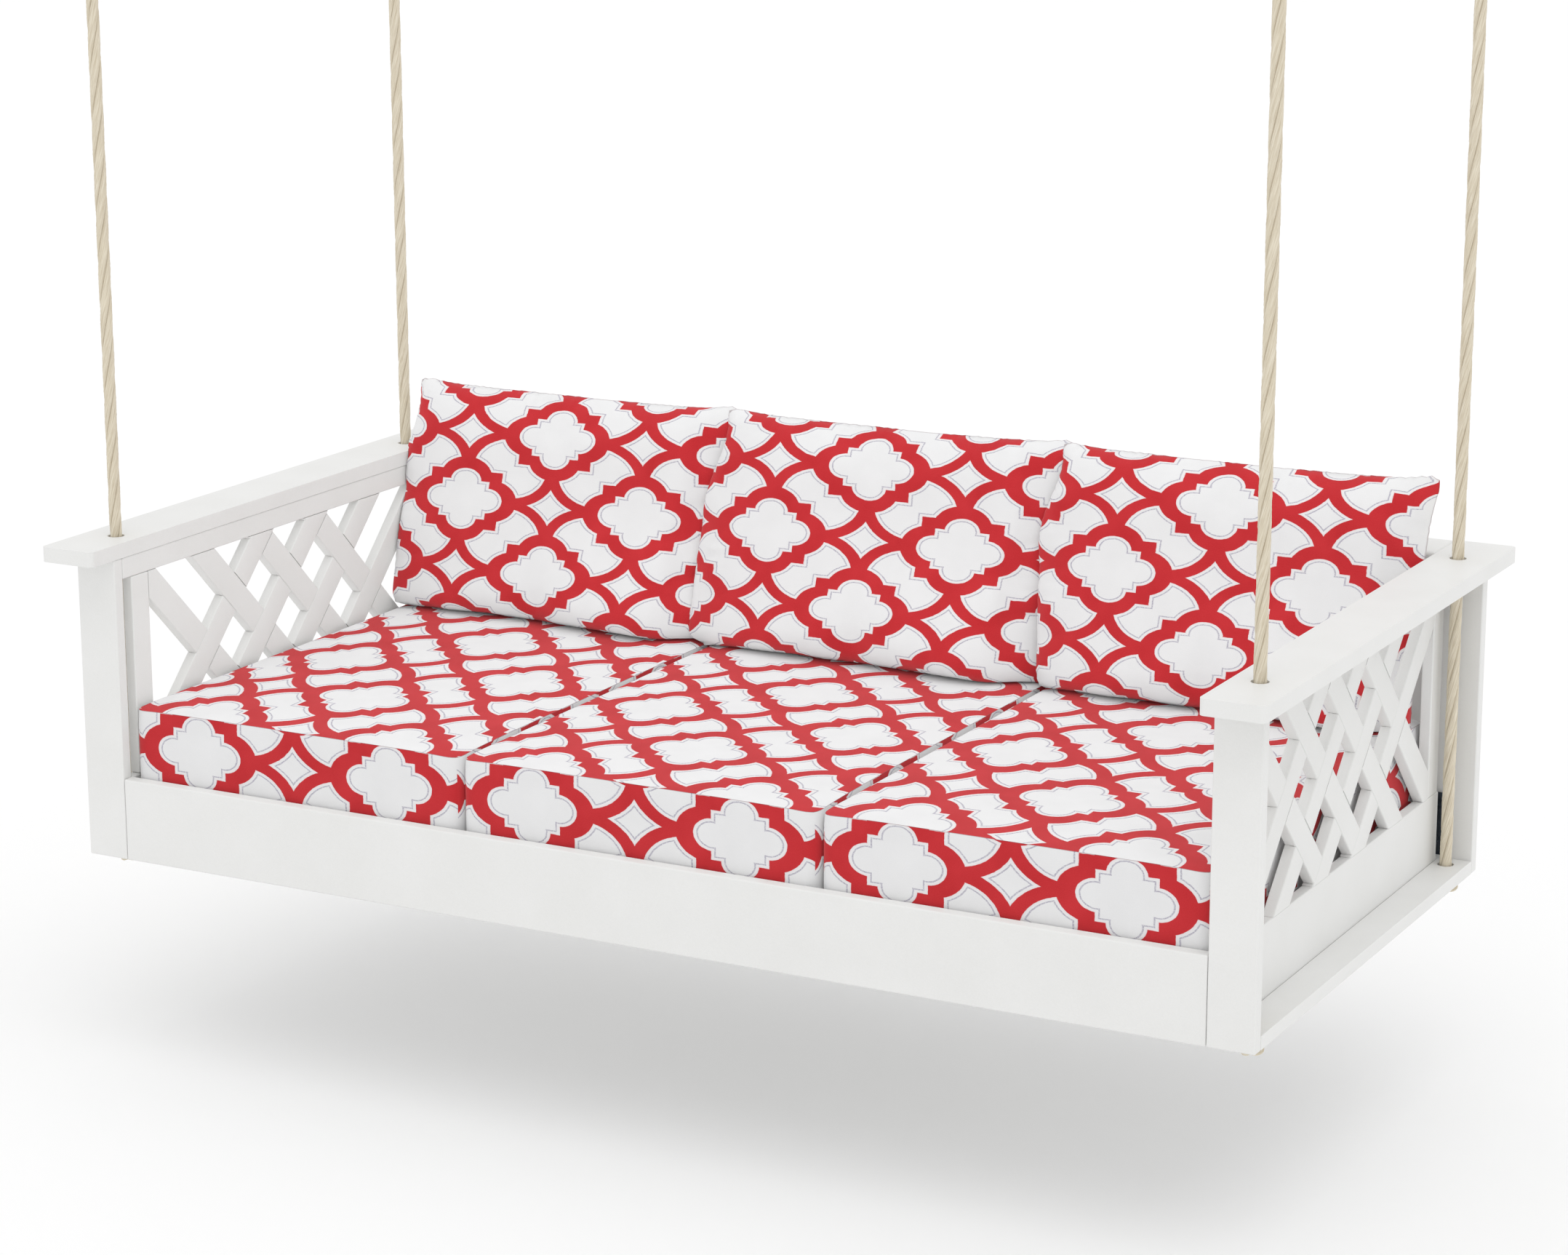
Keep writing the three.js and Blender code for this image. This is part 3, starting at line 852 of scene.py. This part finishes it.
# Where in a repeat the middle of each panel lies
SEAT_PHASE = {"left": (-0.003, 0.606), "middle": (-0.020, 0.693), "right": (-0.0075, 0.5905)}
BOXING_PHASE = (0.497, -0.011)
BACK_PHASE = {"left": (0.0, 0.434), "middle": (0.042, 0.404), "right": (0.042, 0.404)}

CLOTH = {"quality": 6, "mass": 0.25, "tension_stiffness": 25, "compression_stiffness": 12,
         "shear_stiffness": 8, "bending_stiffness": 0.4, "use_pressure": True}
CLOTH_FRAMES = 18
SEAM_CREASE = 0.9

SNUG = 2 * MM  # how much wider than its node a boxed cushion is
SEAT_STEP = 17 * MM
SEAT_SEAM = 0.129  # height of a boxed cushion between its seams
SEAT_CROWN = 1.5 * MM
SEAT_BULGE = 0.55  # the share of the inflated rise that the padding fills
SEAT_SAG = 2.5 * MM
SEAM_PULL = 2.5 * MM  # how far the top seam draws in from the boxing
CORNER_DROOP = 4 * MM
DROOP_REACH = 30 * MM
CORNER_ROUND = 20 * MM
CROWN_POWER = 2.6  # how square the crown of a cushion is in plan
DECK_GAP = 0.5 * MM

PILLOW_STEP = 15 * MM
PILLOW_WIDTH = 0.640
PILLOW_HEIGHT = 0.438
PILLOW_FRONT = 68 * MM
PILLOW_BACK = 36 * MM
PILLOW_LEAN = 9.0
PILLOW_BACK_BY = 0.3635  # how far back its bottom seam stands
PILLOW_SINK = 0.030  # how far that seam lies below the top of the seat, which presses it flat
PILLOW_CORNER = 20 * MM
PILLOW_DENT = 9 * MM
PILLOW_FOOT = 34 * MM  # the round along the foot of a pillow that stands on the seat
PILLOW_DIP = 4 * MM  # how far the middle of the top and bottom seams draws in
PILLOW_FLAT = {"left": 8, "right": 6, "bottom": 10, "top": 4}  # how square its fullness is near each side
PRESS_GAP = 1 * MM  # between a pillow and the boards that it presses on
STAND_GAP = 0.6 * MM  # between a pillow and the seat cushion that it stands on
SIDE_GAP = 0.3 * MM
ARM_SPILL = 0.6  # how far a pillow may spill over an arm, for its height above it
PILLOW_START = 0.85  # the share of its depth that it has before it is filled
SEAM_FADE = 1.6  # over how many steps of the grid the dents die away towards a seam
# The front's depth, as a polynomial of the height from -1 to 1
SLUMP = (1.0, -0.52, 0.50)
# A pillow's left side bulges out past its seam, most at this distance from it
BULGE_AT = 30 * MM
# By how much it bulges, and how that grows downwards
BULGE = {"left": (50 * MM, 0.5), "middle": (56 * MM, 0.3), "right": (46 * MM, -1.0)}
BULGE_TOP = 0.4  # the share of the height over which the bulge sets in, from the top
FOOT_SKEW = 0.28  # how much fuller the foot is at the right than in the middle
GIVE = 0.5  # the share of a bulge by which the neighbour it presses on gives way
EAR = {-1: (8 * MM, 7 * MM), 1: (19 * MM, 9 * MM)}  # how far the top corners stand out and up, by side
EAR_REACH = 40 * MM
EAR_TWIST = 8 * MM  # how far the right ear leans back, and the left one forwards
PUCKER_PITCH = 0.036
PUCKER_RISE = 3.6 * MM
PUCKER_DEPTH = 4.5 * MM
PUCKER_REACH = 13 * MM
RISE_REACH = 6 * MM
# Pinched folds: where, from -1 to 1 across and up, and how deep
PINCHES = ((0.93, -0.32, 9 * MM), (0.90, 0.22, 5 * MM), (-0.90, -0.45, 5 * MM))
PINCH_LENGTH = 32 * MM
PINCH_WIDTH = 11 * MM
PINCH_SLOPE = 0.4


def as_array(mesh):
    spots = np.empty(len(mesh.vertices) * 3)
    mesh.vertices.foreach_get("co", spots)
    return spots.reshape(-1, 3)


def put_array(mesh, spots):
    mesh.vertices.foreach_set("co", spots.ravel())
    mesh.update()


def run_cloth(piece, pressure, cap):
    """Inflates a closed mesh as cloth, with no vertex moving further than the cap."""
    rest = as_array(piece.data)
    cloth = piece.modifiers.new("cloth", "CLOTH")
    for setting, value in CLOTH.items():
        setattr(cloth.settings, setting, value)
    cloth.settings.uniform_pressure_force = pressure
    cloth.settings.effector_weights.gravity = 0
    cloth.point_cache.frame_start = 1
    cloth.point_cache.frame_end = CLOTH_FRAMES
    scene = bpy.context.scene
    for number in range(1, CLOTH_FRAMES + 1):
        scene.frame_set(number)
    moved = as_array(piece.evaluated_get(bpy.context.evaluated_depsgraph_get()).data)
    piece.modifiers.clear()
    scene.frame_set(1)
    step = moved - rest
    length = np.linalg.norm(step, axis=1, keepdims=True)
    step *= cap * np.tanh(length / cap) / np.maximum(length, 1e-9)
    put_array(piece.data, rest + step)


def closed_grid(name, verts, faces, layers, seams):
    """A mesh of quads with its UV maps, and a crease along the edges that are sewn."""
    mesh = mesh_of(name, verts, faces)
    for layer, values in layers.items():
        add_uvs(mesh, layer, values)
    creases = mesh.attributes.new("crease_edge", "FLOAT", "EDGE")
    for edge in mesh.edges:
        sewn = tuple(sorted(edge.vertices)) in seams
        creases.data[edge.index].value = SEAM_CREASE if sewn else 0.0
    return link(name, mesh)


def subdivide(piece):
    finer = piece.modifiers.new("finer", "SUBSURF")
    finer.levels = 1
    finer.render_levels = 1
    finer.uv_smooth = "NONE"
    apply_modifiers(piece)


def boxed_cushion(name, centre, size, repeat, phase, seed):
    """A boxed cushion of six panels: the top and bottom are sewn to a boxing that runs round the sides."""
    counts = [max(4, round(s / SEAT_STEP)) for s in size]
    verts, index = [], {}

    def vertex(grid):
        grid = tuple(grid)
        if grid not in index:
            index[grid] = len(verts)
            verts.append([(grid[a] / counts[a] - 0.5) * size[a] for a in range(3)])
        return index[grid]

    faces, seams = [], set()
    layers = {"print": [], "weave": [], "seam": []}
    for axis in range(3):
        across, up = [a for a in range(3) if a != axis]
        sewn = (across, up) if axis == 2 else (up,)
        scale, shift = ((repeat, phase), (BOXING_REPEAT, BOXING_PHASE))[axis != 2]
        for level in (0, counts[axis]):
            for a in range(counts[across]):
                for b in range(counts[up]):
                    corners = []
                    for da, db in ((0, 0), (1, 0), (1, 1), (0, 1)):
                        grid = [0, 0, 0]
                        grid[axis], grid[across], grid[up] = level, a + da, b + db
                        corners.append(vertex(grid))
                    if (level == 0) != (axis == 1):
                        corners.reverse()
                    faces.append(corners)
                    for corner in corners:
                        spot = verts[corner]
                        margins = [size[d] / 2 - abs(spot[d]) for d in sewn]
                        # Distance from the nearest seam, along which the canvas draws a thin painted shade, and a
                        # mark on the boxing, which the canvas darkens as painted shade.
                        layers["seam"].append((min(margins), float(axis != 2)))
                        layers["weave"].append((spot[across], spot[up]))
                        prints = (spot[across] / scale[0] + shift[0], spot[up] / scale[1] + shift[1])
                        layers["print"].append(prints)
                    for first, second in zip(corners, corners[1:] + corners[:1]):
                        heights = {verts[first][2], verts[second][2]}
                        if axis != 2 and heights in ({-size[2] / 2}, {size[2] / 2}):
                            seams.add(tuple(sorted((first, second))))
    piece = closed_grid(name, verts, faces, layers, seams)
    half = np.array(size) / 2
    put_array(piece.data, np.array([rounded_in_plan(v, half, CORNER_ROUND) for v in as_array(piece.data)]))
    run_cloth(piece, pressure=4.0, cap=8 * MM)
    spots = as_array(piece.data)
    spots[:, :2] *= half[:2] / np.abs(spots[:, :2]).max(axis=0)
    spots = np.array([settled(spot, half, seed) for spot in spots]) + np.array(centre)
    put_array(piece.data, spots)
    return piece


def rounded_in_plan(spot, half, corner):
    """Brings the four upright corners of a box in to a round."""
    over = [abs(spot[a]) - (half[a] - corner) for a in (0, 1)]
    reach = math.hypot(*over)
    if min(over) <= 0 or reach <= corner:
        return spot
    out = [math.copysign(half[a] - corner + over[a] * corner / reach, spot[a]) for a in (0, 1)]
    return (*out, spot[2])


def settled(spot, half, seed):
    """A boxed cushion's crown and slight hollows, over a bottom pressed flat by the deck."""
    x, y, z = spot
    crown = 1.0
    for part, reach in zip((x, y), half):
        crown *= 1 - min(1, abs(part / reach)) ** CROWN_POWER
    hollow = noise.noise(Vector((x * 5 + seed * 7.3, y * 5, seed)))
    upper = max(0.0, z / half[2]) ** 4
    x -= math.copysign(SEAM_PULL * min(1, upper) * abs(x / half[0]) ** 3, x)
    to_corner = math.hypot(half[0] - abs(x), half[1] - abs(y))
    if z > half[2]:
        z = half[2] + SEAT_BULGE * (z - half[2]) + crown * (SEAT_CROWN + SEAT_SAG * hollow)
    z -= CORNER_DROOP * min(1, upper) * math.exp(-to_corner / DROOP_REACH)
    return x, y, max(z, -half[2])


def make_seat_cushions(canvas):
    """The three boxed cushions, and a test for the height of their tops."""
    points, polygons = [], []
    for label, place in PLACES.items():
        low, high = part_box(f"seat_cushion_{label}")
        size = (high.x - low.x + SNUG, high.y - low.y, SEAT_SEAM)
        centre = ((low.x + high.x) / 2, (low.y + high.y) / 2, deck_top + DECK_GAP + SEAT_SEAM / 2)
        name = f"boxed_cushion_{label}"
        piece = boxed_cushion(name, centre, size, SEAT_REPEAT[label], SEAT_PHASE[label], place + 2)
        subdivide(piece)
        smooth(piece, 65)
        fit_out(piece, canvas, f"seat_pad_{label}", f"seat_cushion_{label}")
        start = len(points)
        points += [v.co.copy() for v in piece.data.vertices]
        polygons += [[start + i for i in polygon.vertices] for polygon in piece.data.polygons]
    return BVHTree.FromPolygons(points, polygons)


def pillow(name, seed, phase, bulge):
    """A knife-edged pillow in its own frame: X across, Y up, +Z to the front, its seam round the edge.

    It has slumped: its front is fattest low down and at its left, where it presses against its neighbour.
    """
    columns, rows = round(PILLOW_WIDTH / PILLOW_STEP), round(PILLOW_HEIGHT / PILLOW_STEP)
    verts, index = [], {}

    def vertex(i, j, side):
        on_seam = i in (0, columns) or j in (0, rows)
        key = (i, j, 0 if on_seam else side)
        if key not in index:
            index[key] = len(verts)
            u, v = 2 * i / columns - 1, 2 * j / rows - 1
            depth = PILLOW_FRONT if side > 0 else -PILLOW_BACK
            across = 1 - u ** PILLOW_FLAT["left" if u < 0 else "right"]
            upwards = 1 - v ** PILLOW_FLAT["bottom" if v < 0 else "top"]
            puff = 0 if on_seam else PILLOW_START * depth * math.sqrt(across * upwards)
            verts.append((u * PILLOW_WIDTH / 2, v * PILLOW_HEIGHT / 2, puff))
        return index[key]

    faces, seams, grids = [], set(), []
    for side in (1, -1):
        for i in range(columns):
            for j in range(rows):
                grid = [(i, j), (i + 1, j), (i + 1, j + 1), (i, j + 1)]
                if side < 0:
                    grid.reverse()
                corners = [vertex(a, b, side) for a, b in grid]
                faces.append(corners)
                grids += [(a, b, side) for a, b in grid]
                for k in range(4):
                    (a, b), (c, d) = grid[k], grid[(k + 1) % 4]
                    if a == c in (0, columns) or b == d in (0, rows):
                        seams.add(tuple(sorted((corners[k], corners[(k + 1) % 4]))))
    blank = [(0.0, 0.0)] * len(grids)
    piece = closed_grid(name, verts, faces, {"print": blank, "weave": blank, "seam": blank}, seams)
    run_cloth(piece, pressure=5.0, cap=24 * MM)

    # Drawn out to its seams, row by row and column by column, then puckered along them
    spots = as_array(piece.data)
    table = [[index.get((i, j, 0)) for j in range(rows + 1)] for i in range(columns + 1)]
    rims = spots.copy()
    for (i, j, side), k in index.items():
        ends = [abs(rims[table[end][j], 0]) for end in (0, columns)]
        spots[k, 0] *= (PILLOW_WIDTH / 2 - SIDE_GAP) / (sum(ends) / 2)
        ends = [abs(rims[table[i][end], 1]) for end in (0, rows)]
        dip = PILLOW_DIP * (1 - (2 * i / columns - 1) ** 2)
        spots[k, 1] *= (PILLOW_HEIGHT / 2 - dip) / (sum(ends) / 2)
    front = spots[:, 2] > 0
    spots[front, 2] *= PILLOW_FRONT / spots[:, 2].max()
    spots[~front, 2] *= PILLOW_BACK / -spots[:, 2].min()
    for (i, j, side), k in index.items():
        fade = math.exp(-min(i, columns - i, j, rows - j) / SEAM_FADE)
        x, y, z = spots[k]
        drift = noise.noise(Vector((x * 6, y * 6, seed * 2.3 + side)))
        z += (1 - fade) * PILLOW_DENT * drift
        up = y / (PILLOW_HEIGHT / 2)
        if z > 0:
            z *= SLUMP[0] + SLUMP[1] * up + SLUMP[2] * up**2
            z *= 1 + FOOT_SKEW * max(0, -up) * x / (PILLOW_WIDTH / 2)
            down = (1 - up) / 2
            low = min(1, down / BULGE_TOP)
            press = bulge[0] * (1 + bulge[1] * (down - 0.5)) * low**2 * (3 - 2 * low)
            x -= press * near_edge(x + PILLOW_WIDTH / 2) + GIVE * press * near_edge(PILLOW_WIDTH / 2 - x)
        x, y, z = rounded_in_plan((x, y, z), (PILLOW_WIDTH / 2, PILLOW_HEIGHT / 2), PILLOW_CORNER)
        hand = 1 if x > 0 else -1
        ear = math.exp(-math.hypot(hand * PILLOW_WIDTH / 2 - x, PILLOW_HEIGHT / 2 - y) / EAR_REACH)
        spots[k] = (x + hand * EAR[hand][0] * ear, y + EAR[hand][1] * ear, z - hand * EAR_TWIST * ear)
    put_array(piece.data, spots)

    # The cloth lies along the surface, so the print is measured along it from the middle
    sheet = np.empty((2, columns + 1, rows + 1, 3))
    for i in range(columns + 1):
        for j in range(rows + 1):
            for side, s in enumerate((1, -1)):
                sheet[side, i, j] = spots[index.get((i, j, s), index.get((i, j, 0)))]
    across = np.zeros(sheet.shape[:3])
    along = np.zeros(sheet.shape[:3])
    across[:, 1:] = np.cumsum(np.linalg.norm(np.diff(sheet, axis=1), axis=3), axis=1)
    along[:, :, 1:] = np.cumsum(np.linalg.norm(np.diff(sheet, axis=2), axis=3), axis=2)
    across -= (across[:, columns // 2] + across[:, (columns + 1) // 2])[:, None] / 2
    along -= (along[:, :, rows // 2] + along[:, :, (rows + 1) // 2])[:, :, None] / 2
    layers = {key: piece.data.uv_layers[key].data for key in ("print", "weave", "seam")}
    for k, (i, j, side) in enumerate(grids):
        x, y = across[int(side < 0), i, j], along[int(side < 0), i, j]
        layers["weave"][k].uv = (x, y)
        layers["print"][k].uv = (x / BACK_REPEAT[0] + phase[0], y / BACK_REPEAT[1] + phase[1])
        # Distance from the seam, along which the canvas draws a thin painted shade.
        layers["seam"][k].uv = (min(i, columns - i, j, rows - j) * PILLOW_STEP, 0)
    return piece


def near_edge(inset):
    """One at BULGE_AT from an edge, and dying away to nothing at it and far from it."""
    share = max(0.0, inset) / BULGE_AT
    return share * math.exp(1 - share)


def pucker(spot, seed):
    """Gathers a pillow's surface into short folds along its seams, with a few pinches at its sides."""
    x, y, z = spot
    inset = (PILLOW_WIDTH / 2 - abs(x), PILLOW_HEIGHT / 2 - abs(y))
    sideways = inset[0] < inset[1]
    run = y if sideways else x
    drift = noise.noise(Vector((run * 9, seed * 3.1, 4.0 if sideways else 9.0)))
    wave = math.sin(2 * math.pi * (run / PUCKER_PITCH + 0.8 * drift + seed * 0.37))
    wave *= 0.6 + 0.8 * noise.noise(Vector((run * 14, seed * 1.7, 2.0)))
    edge = max(0.0, min(inset))
    rise = PUCKER_RISE * wave * math.exp(-edge / RISE_REACH)
    fold = PUCKER_DEPTH * wave * edge / PUCKER_REACH * math.exp(1 - edge / PUCKER_REACH)
    if sideways:
        x += math.copysign(0.5 * rise, x)
    else:
        y += math.copysign(rise, y)
    z += math.copysign(fold, z)
    if z > 0:
        for u, v, depth in PINCHES:
            across = x - u * PILLOW_WIDTH / 2
            aside = y - v * PILLOW_HEIGHT / 2 - PINCH_SLOPE * across
            z -= depth * math.exp(-((across / PINCH_LENGTH) ** 2) - (aside / PINCH_WIDTH) ** 2)
    return x, y, z


def make_back_cushions(canvas, seats):
    for label, place in PLACES.items():
        piece = pillow(f"back_pillow_{label}", place + 2, BACK_PHASE[label], BULGE[label])
        low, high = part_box(f"back_cushion_{label}")
        seat_top = deck_top + DECK_GAP + SEAT_SEAM
        stand = Matrix.Translation(((low.x + high.x) / 2, PILLOW_BACK_BY, seat_top - PILLOW_SINK))
        stand @= Matrix.Rotation(math.radians(90 - PILLOW_LEAN), 4, "X")
        stand @= Matrix.Translation((0, PILLOW_HEIGHT / 2, 0))
        subdivide(piece)
        put_array(piece.data, np.array([pucker(spot, place + 2) for spot in as_array(piece.data)]))
        depths = as_array(piece.data)[:, 2]
        piece.data.transform(stand)
        for v, depth in zip(piece.data.vertices, depths):
            v.co.y = min(v.co.y, cap_front - PRESS_GAP)
            reach = arm_inner - PRESS_GAP + ARM_SPILL * max(0, v.co.z - arm_top)
            v.co.x = max(-reach, min(reach, v.co.x))
            hit = seats.ray_cast(Vector((v.co.x, v.co.y, seat_top + 0.1)), Vector((0, 0, -1)))[0]
            floor = (hit.z if hit else seat_top) + STAND_GAP
            tuck = 1 - min(1, max(0, (v.co.z - floor) / PILLOW_FOOT))
            inset = PILLOW_FOOT * (1 - math.sqrt(1 - tuck**2))
            v.co.y += inset * max(-1, min(1, depth / PILLOW_FOOT))
            v.co.z = max(v.co.z, floor)
        smooth(piece, 75)
        fit_out(piece, canvas, f"back_pad_{label}", f"back_cushion_{label}")


# ---- The whole scene ----

make_camera()
fibre = rope_fibre()
zinc = plated_steel("zinc_plate", (0.62, 0.63, 0.65, 1), (0.45, 0.46, 0.48, 1), 0.38)
dark_steel = plated_steel("dark_steel", (0.10, 0.115, 0.14, 1), (0.05, 0.06, 0.075, 1), 0.5)
make_fittings(zinc, dark_steel)
make_ropes(fibre)
make_studio()
make_floor()
plastic = board_plastic()
dress_boards(plastic)
make_lattices(plastic)
canvas = printed_canvas()
seats = make_seat_cushions(canvas)
make_back_cushions(canvas, seats)
